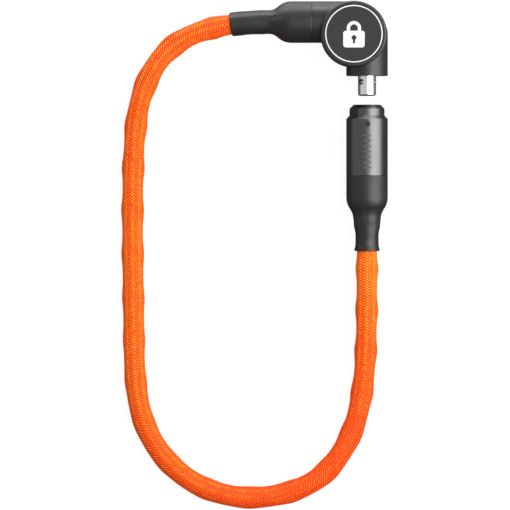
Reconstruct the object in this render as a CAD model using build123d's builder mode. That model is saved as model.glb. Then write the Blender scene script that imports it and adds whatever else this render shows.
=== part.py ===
"""Flexible bike lock: a textile rope with a chain core, a keyed head with a ball-locking bolt, and a barrel.

Millimetres. The lock lies flat: +Z is up, out of the badge. The origin is the middle of the drum's back
face, on the key cylinder's axis. +Y runs from the barrel to the head, and the barrel plugs on along it.
"""

import math
import os

from build123d import *

os.makedirs("parts", exist_ok=True)

# ---------------------------------------------------------------- driving dimensions
body_r = 14.0  # arm, collar and barrel
drum_r = 22.2
drum_height = 31.0
axis_z = body_r  # arm, collar and barrel all touch the surface that the lock lies on
arm_y = drum_r - body_r
bolt_x = 9.0
rope_r = 7.0
gap = 0.05  # between fixed pieces
run_gap = 0.1  # between moving ones

# ends along the arm (X) and along the bolt (Y)
arm_end = -28.0
spigot_r = body_r - 1.1
head_spigot_end = -44.0
collar_end = -28.0
collar_socket_r = 12.1
collar_socket_end = -20.4
neck_r = 11.8
neck_flat = 10.35  # from the axis to the flat that keys the neck to the collar
neck_flat_angle = -60.0  # round the bolt, from +Z towards +X
neck_top = -47.4
neck_end = -54.6
shoulder_end = -57.0
barrel_seam = -95.0
barrel_spigot_end = -112.0
barrel_sleeve_end = -146.5
closing_travel = collar_end - neck_end - 0.2

# locking bolt and balls
bolt_r = 6.1
bolt_tip = -41.4
bolt_top = -9.8
bolt_bore_r = 3.3
bolt_bore_end = -39.4
ball_r = 2.0
ball_y = -32.0
ball_angles = (-42.0, 78.0, 198.0)  # round the bolt, from +Z towards +X
ball_rest = 4.35  # ball centre to bolt axis, unlocked
ball_travel = 0.9

# key cylinder
plug_r = 6.95
plug_nose_r = 6.2
shell_r = 9.55
shell_bottom = 1.6
shell_top = 17.2
disc_r = 5.42
disc_count = 7
disc_thick = 1.25
spacer_thick = 0.62
crank_r = 3.0
crank_angle = 45.0  # at rest, unlocked; locking turns it to -45
crank_pin_r = 1.5
driver_travel = 2 * crank_r * math.sin(math.radians(crank_angle))

# head cavities
chamber_r = 13.6
cover_r = 17.6
cover_bottom = 27.7
badge_r = 20.0
badge_bottom = 29.7
screw_circle_r = 15.2
screw_start = 20  # the first of three

# chain core
wire_r = 1.7
link_half_width = 3.7  # wire centre to the link's middle line
link_count = 47
anchor_pin_r = 1.65
head_anchor_x = -34.0
barrel_anchor_y = -101.0

# rope route: where its middle line turns
rope_route = [
    (-56, 8.2, 14),
    (-74, 8.2, 14),
    (-102, 3.2, 10.5),
    (-121, -6.2, 7.7),
    (-134.5, -21, 7),
    (-144.3, -43.5, 7),
    (-148.2, -73, 7),
    (-149.1, -125, 7),
    (-148.2, -188, 7),
    (-147.4, -236, 7),
    (-141, -265, 7),
    (-125.5, -289, 7),
    (-102.5, -306, 7),
    (-71.5, -313.5, 7),
    (-38, -308, 7),
    (-16, -294, 7),
    (-0.5, -269, 7),
    (6, -242.5, 7),
    (8.6, -212, 7),
    (bolt_x, -165, 14),
    (bolt_x, -120, 14),
]

arm_axis = Axis((0, arm_y, axis_z), (1, 0, 0))
bolt_axis = Axis((bolt_x, 0, axis_z), (0, 1, 0))
arm_side = Plane(origin=(0, arm_y, axis_z))  # sketch x runs along the arm, sketch y is radius
bolt_side = Plane(origin=(bolt_x, 0, axis_z))  # sketch x is radius, sketch y runs along the bolt


def save(piece, name):
    piece.label = name
    export_step(piece, f"parts/{name}.step")


def along_x(x, y=arm_y, z=axis_z):
    """A plane across the arm at x, facing the rope."""
    return Plane(origin=(x, y, z), x_dir=(0, 1, 0), z_dir=(-1, 0, 0))


def along_y(y):
    """A plane across the bolt at y, facing the barrel's rope end."""
    return Plane(origin=(bolt_x, y, axis_z), x_dir=(1, 0, 0), z_dir=(0, -1, 0))


def corner_radii(points):
    """The largest fillet that each corner's two runs allow."""
    radii = []
    for before, corner, after in zip(points, points[1:], points[2:]):
        a = Vector(corner) - Vector(before)
        b = Vector(after) - Vector(corner)
        half_turn = math.radians(a.get_angle(b)) / 2
        radii.append(0.45 * min(a.length, b.length) / math.tan(half_turn))
    return radii


def flat_block(low, high, distance):
    """A block beyond the keying flat, between two places along the bolt."""
    with BuildPart(mode=Mode.PRIVATE) as block:
        with BuildSketch(along_y(high)):
            # seen from the barrel, the flat's direction lies this far round from the sketch's x
            with Locations(Location((0, 0, 0), (0, 0, 90 - neck_flat_angle))):
                with Locations((distance + 5, 0)):
                    Rectangle(10, 30)
        extrude(amount=high - low)
    return block.part


# ---------------------------------------------------------------- rope and its chain
route_radii = corner_radii(rope_route)
print("rope corner radii", [round(r) for r in route_radii])


def rope_tube(outer, inner):
    """A tube along the rope's route."""
    with BuildPart() as tube:
        with BuildLine() as middle:
            FilletPolyline(*rope_route, radius=route_radii)
        with BuildSketch(along_x(rope_route[0][0])):
            Circle(outer)
            Circle(inner, mode=Mode.SUBTRACT)
        sweep(path=middle.wire())
    length = middle.wire().length
    ideal = math.pi * (outer**2 - inner**2) * length
    print("rope tube", round(length, 1), "mm, volume share", round(tube.part.volume / ideal, 4))
    return tube.part


save(rope_tube(rope_r, 6.5), "rope_sheath")
save(rope_tube(6.45, 6.0), "rope_liner")

with BuildLine() as chain_line:
    FilletPolyline(
        (head_anchor_x + anchor_pin_r, arm_y, axis_z),
        *rope_route[1:-1],
        (bolt_x, barrel_anchor_y + anchor_pin_r, axis_z),
        radius=route_radii,
    )
chain_path = chain_line.wire()
pitch = chain_path.length / link_count
print("chain", round(chain_path.length, 1), "mm, pitch", round(pitch, 2))

with BuildPart() as chain_link:
    half_straight = pitch / 2 + wire_r + 0.15 - link_half_width
    with BuildLine() as link_loop:
        Line((-half_straight, link_half_width), (half_straight, link_half_width))
        ThreePointArc(
            (half_straight, link_half_width),
            (half_straight + link_half_width, 0),
            (half_straight, -link_half_width),
        )
        Line((half_straight, -link_half_width), (-half_straight, -link_half_width))
        ThreePointArc(
            (-half_straight, -link_half_width),
            (-half_straight - link_half_width, 0),
            (-half_straight, link_half_width),
        )
    with BuildSketch(Plane.YZ):
        with Locations((link_half_width, 0)):
            Circle(wire_r)
    sweep(path=link_loop.wire())

joints = [chain_path.position_at(k / link_count) for k in range(link_count + 1)]
links = []
for k in range(link_count):
    run = joints[k + 1] - joints[k]
    across = Vector(0, 0, 1).cross(run).normalized()
    upright = run.cross(across).normalized()
    # flat and standing links take turns, and the two end links lie flat on their anchor pins
    face = upright if k % 2 == 0 else across
    place = Plane(origin=(joints[k] + joints[k + 1]) * 0.5, x_dir=run, z_dir=face)
    links.append(chain_link.part.solid().moved(place.location))
save(Compound(children=links), "core_chain")

# ---------------------------------------------------------------- head housing
with BuildPart() as lock_housing:
    with BuildSketch():
        Circle(drum_r)
    extrude(amount=drum_height)
    rims = edges().filter_by(GeomType.CIRCLE).sort_by(Axis.Z)
    fillet(rims[-1], 1.4)
    fillet(rims[0], 0.8)
    with BuildSketch(along_x(0)):
        Circle(body_r)
    extrude(amount=-arm_end)
    with BuildSketch(along_y(0)):
        Circle(body_r)
    extrude(amount=-collar_end)
    # the collar's round end closes the elbow
    with Locations((bolt_x, 0, axis_z)):
        Sphere(body_r)
    with BuildSketch(along_x(arm_end)):
        Circle(spigot_r)
    extrude(amount=arm_end - head_spigot_end)
    chamfer(faces().sort_by(Axis.X)[0].edges(), 1.2)
    # badge seat, inner cover seat and cam chamber, from the front
    with BuildSketch(Plane.XY.offset(drum_height)):
        Circle(badge_r + gap)
    extrude(amount=badge_bottom - drum_height, mode=Mode.SUBTRACT)
    with BuildSketch(Plane.XY.offset(badge_bottom)):
        Circle(cover_r + gap)
    extrude(amount=cover_bottom - badge_bottom, mode=Mode.SUBTRACT)
    with BuildSketch(Plane.XY.offset(cover_bottom)):
        Circle(chamber_r)
    extrude(amount=shell_top - cover_bottom, mode=Mode.SUBTRACT)
    # key cylinder seat, and the window that shows the plug
    with BuildSketch(Plane.XY.offset(shell_bottom)):
        Circle(shell_r + gap)
    extrude(amount=shell_top - shell_bottom, mode=Mode.SUBTRACT)
    with BuildSketch():
        Circle(plug_nose_r + run_gap)
    extrude(amount=shell_bottom, mode=Mode.SUBTRACT)
    # collar socket, bolt bore and the slot that the driver's lug moves in
    with BuildPart(mode=Mode.PRIVATE) as socket:
        with BuildSketch(along_y(collar_socket_end)):
            Circle(collar_socket_r)
        extrude(amount=collar_socket_end - collar_end)
        add(flat_block(collar_end, collar_socket_end, neck_flat + 0.3), mode=Mode.SUBTRACT)
    add(socket.part, mode=Mode.SUBTRACT)
    with BuildSketch(along_y(collar_socket_end)):
        Circle(bolt_r + 0.02)
    extrude(amount=-(bolt_top + 0.4 - collar_socket_end), mode=Mode.SUBTRACT)
    with Locations((bolt_x, -14.2, 18.6)):
        Box(5.8, 8.6, 9.2, mode=Mode.SUBTRACT)
    with Locations((bolt_x, -12.2, 20.2)):
        Box(5.8, 12.6, 6, mode=Mode.SUBTRACT)
    # arm bore for the end of the chain, and its anchor pin
    with BuildSketch(along_x(head_spigot_end)):
        Circle(7.8)
    extrude(amount=head_spigot_end + 22, mode=Mode.SUBTRACT)
    with Locations((head_anchor_x, arm_y, axis_z)):
        Cylinder(anchor_pin_r + 0.03, 2 * spigot_r + 2, mode=Mode.SUBTRACT)
    # dowel for the bolt, and the cover screws' threads
    with Locations((bolt_x - bolt_r - 0.5, -15.8, 17)):
        Cylinder(1.53, 18, mode=Mode.SUBTRACT)
    with Locations(Plane.XY.offset(cover_bottom)):
        with PolarLocations(screw_circle_r, 3, start_angle=screw_start):
            Hole(1.28, 7)
save(lock_housing.part, "lock_housing")

with BuildPart() as inner_cover:
    with BuildSketch(Plane.XY.offset(cover_bottom)):
        Circle(cover_r)
    extrude(amount=badge_bottom - cover_bottom - gap)
    with Locations(Plane.XY.offset(badge_bottom - gap)):
        with PolarLocations(screw_circle_r, 3, start_angle=screw_start):
            CounterSinkHole(1.35, 2.05)
save(inner_cover.part, "inner_cover")

with BuildPart() as cover_screws:
    with Locations(Plane.XY.offset(badge_bottom - gap - 0.1)):
        with PolarLocations(screw_circle_r, 3, start_angle=screw_start) as at:
            places = at.locations
    for place in places:
        with BuildSketch(Plane(place)):
            Circle(1.9)
        extrude(amount=-0.75, taper=42)
        with BuildSketch(Plane(place)):
            Circle(1.22)
        extrude(amount=-7.2)
        with BuildSketch(Plane(place)):
            RegularPolygon(0.75, 6)
        extrude(amount=-0.7, mode=Mode.SUBTRACT)
save(cover_screws.part, "cover_screws")

# ---------------------------------------------------------------- badge
mark_top = drum_height - 0.15
mark_depth = 0.35
ring_r = 19.3
ring_width = 0.75


def padlock_outline():
    """A plain padlock sign: a body with a keyhole, and a shackle."""
    with BuildSketch(Plane.XY.offset(mark_top)) as sign:
        with Locations((0, 2)):
            SlotCenterToCenter(3.4, 9.6, rotation=90)
            SlotCenterToCenter(3.4, 5.2, rotation=90, mode=Mode.SUBTRACT)
        with Locations((0, -3.6)):
            RectangleRounded(14.4, 11.2, 1.8)
        with Locations((0, -2.6)):
            Circle(1.7, mode=Mode.SUBTRACT)
        with Locations((0, -4.6)):
            SlotCenterToCenter(2.6, 1.5, rotation=90, mode=Mode.SUBTRACT)
    return sign.sketch


def ring_outline():
    """The thin ring round the badge."""
    with BuildSketch(Plane.XY.offset(mark_top)) as ring:
        Circle(ring_r)
        Circle(ring_r - ring_width, mode=Mode.SUBTRACT)
    return ring.sketch


with BuildPart() as badge_plate:
    with BuildSketch(Plane.XY.offset(badge_bottom)):
        Circle(badge_r)
    extrude(amount=mark_top - badge_bottom)
    chamfer(faces().sort_by(Axis.Z)[-1].edges(), 0.25)
    extrude(padlock_outline(), amount=-mark_depth, mode=Mode.SUBTRACT)
    extrude(ring_outline(), amount=-mark_depth, mode=Mode.SUBTRACT)
save(badge_plate.part, "badge_plate")

with BuildPart() as badge_mark:
    extrude(padlock_outline(), amount=-mark_depth)
save(badge_mark.part, "badge_mark")

with BuildPart() as badge_ring:
    extrude(ring_outline(), amount=-mark_depth)
save(badge_ring.part, "badge_ring")

# ---------------------------------------------------------------- key cylinder
sidebar_width = 2.0
sidebar_angle = 200  # round the plug, at rest
stack_bottom = 1.95
sidebar_low = 2.6
sidebar_high = 14.4


def sidebar_slot(low, high, inner, outer, width):
    """A box in the plug's side at the sidebar's angle, from radius inner to outer."""
    with BuildPart(mode=Mode.PRIVATE) as slot:
        with BuildSketch(Plane.XY.offset(low)):
            with Locations(Location((0, 0, 0), (0, 0, sidebar_angle))):
                with Locations(((inner + outer) / 2, 0)):
                    Rectangle(outer - inner, width)
        extrude(amount=high - low)
    return slot.part


with BuildPart() as cylinder_shell:
    with BuildSketch(Plane.XY.offset(shell_bottom + 0.02)):
        Circle(shell_r)
        Circle(plug_r + gap, mode=Mode.SUBTRACT)
    extrude(amount=shell_top - shell_bottom - gap)
    # the sidebar's groove stands where the sidebar is when the lock is locked
    with BuildSketch(Plane.XY.offset(sidebar_low - 0.3)):
        with Locations(Location((0, 0, 0), (0, 0, sidebar_angle - 90))):
            with Locations((plug_r + 0.3, 0)):
                Rectangle(1.6, sidebar_width + 0.2)
    extrude(amount=sidebar_high - sidebar_low + 0.6, mode=Mode.SUBTRACT)
save(cylinder_shell.part, "cylinder_shell")

with BuildPart() as key_plug:
    with BuildSketch(Plane.XY.offset(0.5)):
        Circle(plug_nose_r)
    extrude(amount=shell_bottom + run_gap - 0.5)
    chamfer(faces().sort_by(Axis.Z)[0].edges(), 0.3)
    with BuildSketch(Plane.XY.offset(shell_bottom + run_gap)):
        Circle(plug_r)
    extrude(amount=16.8 - shell_bottom - run_gap)
    with BuildSketch(Plane.XY.offset(stack_bottom - 0.05)):
        Circle(disc_r + 0.08)
    extrude(amount=20, mode=Mode.SUBTRACT)
    with BuildSketch(Plane.XY.offset(0.5)):
        Circle(4.95)
    extrude(amount=2, mode=Mode.SUBTRACT)
    add(sidebar_slot(sidebar_low, sidebar_high, 5, 8, sidebar_width + 0.1), mode=Mode.SUBTRACT)
save(key_plug.part, "key_plug")

with BuildPart() as guard_disc:
    with BuildSketch(Plane.XY.offset(0.3)):
        Circle(4.9)
        SlotOverall(8.2, 2.8, rotation=90, mode=Mode.SUBTRACT)
    extrude(amount=stack_bottom - 0.35)
    chamfer(faces().sort_by(Axis.Z)[0].edges(), 0.2)
save(guard_disc.part, "guard_disc")


def stack_ring(bottom, thick, key_hole_angle):
    """A detainer disc with its key hole, or a spacer where the angle is None, notched for the sidebar."""
    with BuildPart() as ring:
        with BuildSketch(Plane.XY.offset(bottom)):
            Circle(disc_r)
            if key_hole_angle is None:
                Circle(4.25, mode=Mode.SUBTRACT)
            else:
                SlotOverall(7.4, 2.6, rotation=90 + key_hole_angle, mode=Mode.SUBTRACT)
        extrude(amount=thick)
        add(sidebar_slot(bottom - 1, bottom + thick + 1, 4.6, 8, sidebar_width + 0.2), mode=Mode.SUBTRACT)
    return ring.part.solid()


key_cuts = (0, 18, -12, 24, 6, -18, 12)  # each disc's turn to its gate
stack_step = disc_thick + spacer_thick
discs = [
    stack_ring(stack_bottom + k * stack_step, disc_thick - 0.02, cut) for k, cut in enumerate(key_cuts)
]
save(Compound(children=discs), "detainer_discs")
spacers = [
    stack_ring(stack_bottom + k * stack_step + disc_thick, spacer_thick - 0.02, None)
    for k in range(disc_count - 1)
]
save(Compound(children=spacers), "disc_spacers")

with BuildPart() as sidebar:
    add(sidebar_slot(sidebar_low + 0.1, sidebar_high - 0.1, 4.75, plug_r - 0.15, sidebar_width - 0.1))
save(sidebar.part, "sidebar")

with BuildPart() as drive_cam:
    with BuildSketch(Plane.XY.offset(15.0)):
        Circle(disc_r)
    extrude(amount=2.4)
    with BuildSketch(Plane.XY.offset(17.4)):
        Circle(7.6)
    extrude(amount=2.0)
    chamfer(faces().sort_by(Axis.Z)[-1].edges(), 0.3)
    with BuildSketch(Plane.XY.offset(19.4)):
        with PolarLocations(crank_r, 1, start_angle=crank_angle):
            Circle(crank_pin_r)
    extrude(amount=3.2)
save(drive_cam.part, "drive_cam")

# ---------------------------------------------------------------- bolt, driver and balls
cone_slope = ball_travel / driver_travel
cone_angle = math.atan(cone_slope)
cone_r_at_ball = ball_rest - ball_r / math.cos(cone_angle) - 0.03
rod_r = bolt_bore_r - run_gap
cone_length = (rod_r - cone_r_at_ball) / cone_slope


def round_bolt(angle):
    """The direction out of the bolt at that angle."""
    return Vector(math.sin(math.radians(angle)), 0, math.cos(math.radians(angle)))


with BuildPart() as lock_bolt:
    with BuildSketch(along_y(bolt_top)):
        Circle(bolt_r)
    extrude(amount=bolt_top - bolt_tip)
    chamfer(faces().sort_by(Axis.Y)[0].edges(), 0.9)
    with BuildSketch(along_y(bolt_top)):
        Circle(bolt_bore_r)
    extrude(amount=bolt_top - bolt_bore_end, mode=Mode.SUBTRACT)
    for angle in ball_angles:
        out = round_bolt(angle)
        with BuildSketch(Plane(origin=(bolt_x, ball_y, axis_z), z_dir=out)):
            Circle(ball_r + 0.12)
        extrude(amount=ball_rest + ball_travel, mode=Mode.SUBTRACT)
        # the hole narrows at the surface, so the ball can't leave it
        with Locations(Vector(bolt_x, ball_y, axis_z) + out * (ball_rest + ball_travel)):
            Sphere(ball_r + 0.12, mode=Mode.SUBTRACT)
    # slot for the driver's lug, and the dowel's notch
    with Locations((bolt_x, -14.2, 18.6)):
        Box(5.4, 9.2, 9.2, mode=Mode.SUBTRACT)
    with Locations((bolt_x - bolt_r - 0.5, -15.8, 17)):
        Cylinder(1.56, 20, mode=Mode.SUBTRACT)
save(lock_bolt.part, "lock_bolt")

with BuildPart() as bolt_dowel:
    with Locations((bolt_x - bolt_r - 0.5, -15.8, 17)):
        Cylinder(1.5, 17.6)
    chamfer(edges().filter_by(GeomType.CIRCLE), 0.3)
save(bolt_dowel.part, "bolt_dowel")

with BuildPart() as ball_driver:
    with BuildSketch(bolt_side):
        with BuildLine():
            Polyline(
                (0, -10),
                (rod_r, -10),
                (rod_r, ball_y + cone_length),
                (cone_r_at_ball - 0.1, ball_y - 0.1 / cone_slope),
                (cone_r_at_ball - 0.1, -34.6),
                (cone_r_at_ball - 0.6, -35.1),
                (0, -35.1),
                close=True,
            )
        make_face()
    revolve(axis=bolt_axis)
    # lug up out of the bolt
    with Locations((bolt_x, -11.7, 18.1)):
        Box(4.8, 3.4, 8.2)
    # yoke over the cam, with the slot that the crank pin pushes
    with BuildSketch(Plane.XY.offset(19.8)):
        with Locations((bolt_x, -4.2)):
            Rectangle(4.8, 18.4)
        with Locations((5.2, crank_r * math.sin(math.radians(crank_angle)))):
            Rectangle(12.4, 6.6)
        with Locations((2.6, crank_r * math.sin(math.radians(crank_angle)))):
            SlotOverall(4.8, 2 * crank_pin_r + 0.3, mode=Mode.SUBTRACT)
    extrude(amount=2.4)
save(ball_driver.part, "ball_driver")

for number, angle in enumerate(ball_angles, start=1):
    with BuildPart() as locking_ball:
        centre = Vector(bolt_x, ball_y, axis_z) + round_bolt(angle) * ball_rest
        with Locations(centre):
            Sphere(ball_r)
    save(locking_ball.part, f"locking_ball_{number}")

# ---------------------------------------------------------------- barrel
cup_r = 9.4
cup_top = -49.4
cup_bottom = -71.0
mouth_r = 6.6
cup_bore_r = bolt_r + 0.35
groove_y = ball_y - closing_travel
screw_y = -60.4
tick_count = 7
tick_pitch = 3.6
tick_depth = 0.25

with BuildPart() as barrel_shell:
    with BuildSketch(bolt_side):
        with BuildLine():
            Polyline(
                (mouth_r + 0.8, neck_top),
                (neck_r - 2.7, neck_top),
                (neck_r, neck_top - 2.7),
                (neck_r, neck_end),
                (body_r, shoulder_end),
                (body_r, barrel_seam),
                (spigot_r, barrel_seam),
                (spigot_r, barrel_spigot_end + 1.2),
                (spigot_r - 1.2, barrel_spigot_end),
                (cup_r + gap, barrel_spigot_end),
                (cup_r + gap, cup_top),
                (mouth_r, cup_top),
                (mouth_r, neck_top - 0.8),
                close=True,
            )
        make_face()
    revolve(axis=bolt_axis)
    add(flat_block(neck_end, neck_top + 1, neck_flat), mode=Mode.SUBTRACT)
    # tapped hole for the cup's screw
    with BuildSketch(Plane.XY.offset(axis_z)):
        with Locations((bolt_x, screw_y)):
            Circle(2.02)
    extrude(amount=body_r + 1, mode=Mode.SUBTRACT)
    # a row of plain ticks, cut level into the round wall
    for k in range(tick_count):
        with Locations((bolt_x, -68.2 - k * tick_pitch, 2 * body_r)):
            Box(9, 0.9, 2 * tick_depth, mode=Mode.SUBTRACT)
    # anchor pin hole, under the sleeve
    with Locations((bolt_x, barrel_anchor_y, axis_z)):
        Cylinder(anchor_pin_r + 0.03, 2 * body_r, mode=Mode.SUBTRACT)
save(barrel_shell.part, "barrel_shell")

with BuildPart() as ball_cup:
    with BuildSketch(bolt_side):
        with BuildLine():
            Polyline(
                (cup_bore_r + 0.7, cup_top - gap),
                (cup_r, cup_top - gap),
                (cup_r, cup_bottom),
                (cup_bore_r, cup_bottom),
                (cup_bore_r, groove_y - 2.4),
                (cup_bore_r + 1, groove_y - 1.3),
                (cup_bore_r + 1, groove_y + 1.3),
                (cup_bore_r, groove_y + 2.4),
                (cup_bore_r, cup_top - 0.7),
                close=True,
            )
        make_face()
    revolve(axis=bolt_axis)
    # dimple under the screw's point
    with Locations((bolt_x, screw_y, axis_z + cup_r)):
        Cylinder(1.3, 1.6, mode=Mode.SUBTRACT)
save(ball_cup.part, "ball_cup")

with BuildPart() as cup_screw:
    with BuildSketch(Plane.XY.offset(axis_z + body_r - 0.7)):
        with Locations((bolt_x, screw_y)):
            Circle(1.98)
    extrude(amount=-(body_r - 0.7 - cup_r - gap))
    with BuildSketch(Plane.XY.offset(axis_z + cup_r + gap)):
        with Locations((bolt_x, screw_y)):
            Circle(1.2)
    extrude(amount=-0.6)
    with BuildSketch(Plane.XY.offset(axis_z + body_r - 0.7)):
        with Locations((bolt_x, screw_y)):
            RegularPolygon(1.15, 6)
    extrude(amount=-1.6, mode=Mode.SUBTRACT)
save(cup_screw.part, "cup_screw")

with BuildPart() as bolt_bumper:
    with BuildSketch(along_y(cup_bottom - gap)):
        Circle(cup_r - 0.1)
    extrude(amount=2.0)
save(bolt_bumper.part, "bolt_bumper")

with BuildPart() as anchor_plug:
    with BuildSketch(along_y(cup_bottom - 2.1)):
        Circle(cup_r)
    extrude(amount=38)
    with BuildSketch(along_y(cup_bottom - 19)):
        Circle(7.0)
    extrude(amount=22, mode=Mode.SUBTRACT)
    with Locations((bolt_x, barrel_anchor_y, axis_z)):
        Cylinder(anchor_pin_r + 0.03, 2 * body_r, mode=Mode.SUBTRACT)
save(anchor_plug.part, "anchor_plug")


# ---------------------------------------------------------------- anchor pins, ferrules and sleeves
def anchor_pin(x, y):
    """A dowel through the end link of the chain, upright."""
    with BuildPart() as pin:
        with Locations((x, y, axis_z)):
            Cylinder(anchor_pin_r, 2 * spigot_r - 1)
        chamfer(edges().filter_by(GeomType.CIRCLE), 0.3)
    return pin.part


save(anchor_pin(head_anchor_x, arm_y), "head_anchor_pin")
save(anchor_pin(bolt_x, barrel_anchor_y), "barrel_anchor_pin")

ferrule_r = 7.6
flange_r = 9.4
flange_thick = 1.4
ferrule_length = 17.0


def ferrule(start):
    """A crimped tube on the rope's end, with a flange against the spigot. start is the plane of the flange."""
    with BuildPart() as tube:
        with BuildSketch(start):
            Circle(flange_r)
        extrude(amount=flange_thick)
        with BuildSketch(start):
            Circle(ferrule_r)
        extrude(amount=ferrule_length)
        with BuildSketch(start):
            Circle(rope_r + gap)
        extrude(amount=ferrule_length, mode=Mode.SUBTRACT)
    return tube.part


save(ferrule(along_x(head_spigot_end - gap)), "head_ferrule")
save(ferrule(along_y(barrel_spigot_end - gap)), "barrel_ferrule")

sleeve_bore = rope_r + 0.1
tail_r = 7.75
tail_start = (-63.5, arm_y, axis_z)
tail_turn = rope_route[1]
tail_way = (Vector(rope_route[2]) - Vector(tail_turn)).normalized()
tail_end = Vector(tail_turn) + tail_way * 9.6

with BuildPart() as head_sleeve:
    with BuildSketch(arm_side):
        with BuildLine():
            Line((arm_end - gap, spigot_r + gap), (arm_end - gap, body_r))
            Line((arm_end - gap, body_r), (-43, body_r))
            Spline((-43, body_r), (-48.6, 11.9), (-54, 8.6), tangents=((-1, 0), (-1, -0.12)))
            Line((-54, 8.6), (tail_start[0], tail_r))
            Line((tail_start[0], tail_r), (tail_start[0], sleeve_bore))
            Polyline(
                (tail_start[0], sleeve_bore),
                (-61.2, sleeve_bore),
                (-61.2, ferrule_r + gap),
                (-45.6, ferrule_r + gap),
                (-45.6, flange_r + gap),
                (-44.0, flange_r + gap),
                (-44.0, spigot_r + gap),
                (arm_end - gap, spigot_r + gap),
            )
        make_face()
    revolve(axis=arm_axis)
    with BuildLine() as tail_line:
        FilletPolyline(tail_start, tail_turn, tail_end, radius=route_radii[0])
    with BuildSketch(along_x(tail_start[0])):
        Circle(tail_r)
        Circle(sleeve_bore, mode=Mode.SUBTRACT)
    sweep(path=tail_line.wire())
save(head_sleeve.part, "head_sleeve")

with BuildPart() as barrel_sleeve:
    with BuildSketch(bolt_side):
        with BuildLine():
            Line((spigot_r + gap, barrel_seam - gap), (body_r, barrel_seam - gap))
            Line((body_r, barrel_seam - gap), (body_r, -109))
            Spline(
                (body_r, -109),
                (12.2, -116),
                (9.6, -121.8),
                (8.3, -131.5),
                (7.7, -140),
                (8.2, barrel_sleeve_end),
                tangents=((0, -1), (0.12, -1)),
            )
            Polyline(
                (8.2, barrel_sleeve_end),
                (sleeve_bore, barrel_sleeve_end),
                (sleeve_bore, -129.2),
                (ferrule_r + gap, -129.2),
                (ferrule_r + gap, -113.6),
                (flange_r + gap, -113.6),
                (flange_r + gap, barrel_spigot_end),
                (spigot_r + gap, barrel_spigot_end),
                (spigot_r + gap, barrel_seam - gap),
            )
        make_face()
    revolve(axis=bolt_axis)
save(barrel_sleeve.part, "barrel_sleeve")

print("closing travel", round(closing_travel, 2), "driver travel", round(driver_travel, 3))
print("rope leaves the head sleeve at", tail_end)
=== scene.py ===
import math
import bpy
import numpy as np
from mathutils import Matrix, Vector


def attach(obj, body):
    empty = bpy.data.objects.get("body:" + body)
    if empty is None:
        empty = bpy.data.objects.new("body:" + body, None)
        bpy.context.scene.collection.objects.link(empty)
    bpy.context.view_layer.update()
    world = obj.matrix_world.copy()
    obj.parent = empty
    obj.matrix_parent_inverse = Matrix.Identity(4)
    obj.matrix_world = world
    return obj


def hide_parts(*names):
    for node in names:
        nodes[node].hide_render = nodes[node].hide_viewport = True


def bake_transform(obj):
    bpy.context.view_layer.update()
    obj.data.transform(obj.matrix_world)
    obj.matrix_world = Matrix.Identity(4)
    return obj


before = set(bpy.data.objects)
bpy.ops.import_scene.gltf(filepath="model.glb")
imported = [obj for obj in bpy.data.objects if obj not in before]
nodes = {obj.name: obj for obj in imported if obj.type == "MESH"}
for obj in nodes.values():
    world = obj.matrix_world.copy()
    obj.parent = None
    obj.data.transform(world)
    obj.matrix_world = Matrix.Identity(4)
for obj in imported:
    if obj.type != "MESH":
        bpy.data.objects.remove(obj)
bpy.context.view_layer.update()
scene = bpy.context.scene

# metres; the lock lies flat, Z up, the drum on the origin and the barrel down -Y


def hexToLinear(text, alpha=1.0):
    parts = [int(text[i:i + 2], 16) / 255 for i in (1, 3, 5)]
    linear = [c / 12.92 if c <= 0.04045 else ((c + 0.055) / 1.055) ** 2.4 for c in parts]
    return (*linear, alpha)


def addNode(tree, kind, settings=None, links=None):
    # a setting is one of the node's properties, or an input by its name or number
    node = tree.nodes.new(kind)
    settings = settings or {}
    own = [name for name in settings if isinstance(name, str) and hasattr(node, name)]
    for name in own:
        setattr(node, name, settings[name])
    for name in settings:
        if name not in own:
            node.inputs[name].default_value = settings[name]
    for name, source in (links or {}).items():
        tree.links.new(source, node.inputs[name])
    return node


def addObject(name, data):
    made = bpy.data.objects.new(name, data)
    scene.collection.objects.link(made)
    return made


def meshFrom(name, points, faces, smooth=True):
    mesh = bpy.data.meshes.new(name)
    mesh.from_pydata([tuple(p) for p in points], [], faces)
    mesh.polygons.foreach_set("use_smooth", [smooth] * len(mesh.polygons))
    mesh.update()
    return mesh


def plainMesh(piece):
    # the piece as its curve or modifiers make it
    piece.update_tag()
    bpy.context.view_layer.update()
    graph = bpy.context.evaluated_depsgraph_get()
    return bpy.data.meshes.new_from_object(piece.evaluated_get(graph), depsgraph=graph)


def addVectors(mesh, attributes):
    for name, values in attributes.items():
        vectors = mesh.attributes.new(name, "FLOAT_VECTOR", "POINT")
        vectors.data.foreach_set("vector", values.reshape(-1).astype(np.float32))


def addSockets(tree, sizes, counts):
    # geometry in and out, sizes in metres or radians, whole numbers, and the material
    sockets = tree.interface
    sockets.new_socket("Geometry", in_out="INPUT", socket_type="NodeSocketGeometry")
    for name, value in sizes.items():
        sockets.new_socket(name, in_out="INPUT", socket_type="NodeSocketFloat").default_value = value
    for name, value in counts.items():
        sockets.new_socket(name, in_out="INPUT", socket_type="NodeSocketInt").default_value = value
    sockets.new_socket("Material", in_out="INPUT", socket_type="NodeSocketMaterial")
    sockets.new_socket("Geometry", in_out="OUTPUT", socket_type="NodeSocketGeometry")
    return addNode(tree, "NodeGroupInput").outputs


def growPiece(name, mesh, tree, values):
    # runs a tree on a mesh of points and keeps what it makes as a plain piece
    lattice = addObject(name + "Lattice", mesh)
    modifier = lattice.modifiers.new(name, "NODES")
    modifier.node_group = tree
    for socket in tree.interface.items_tree:
        if socket.in_out == "INPUT" and socket.name in values:
            modifier[socket.identifier] = values[socket.name]
    plain = plainMesh(lattice)
    plain.name = name
    bpy.data.objects.remove(lattice)
    return addObject(name, plain)


def smoothStep(x):
    x = np.clip(x, 0, 1)
    return x * x * (3 - 2 * x)


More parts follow.
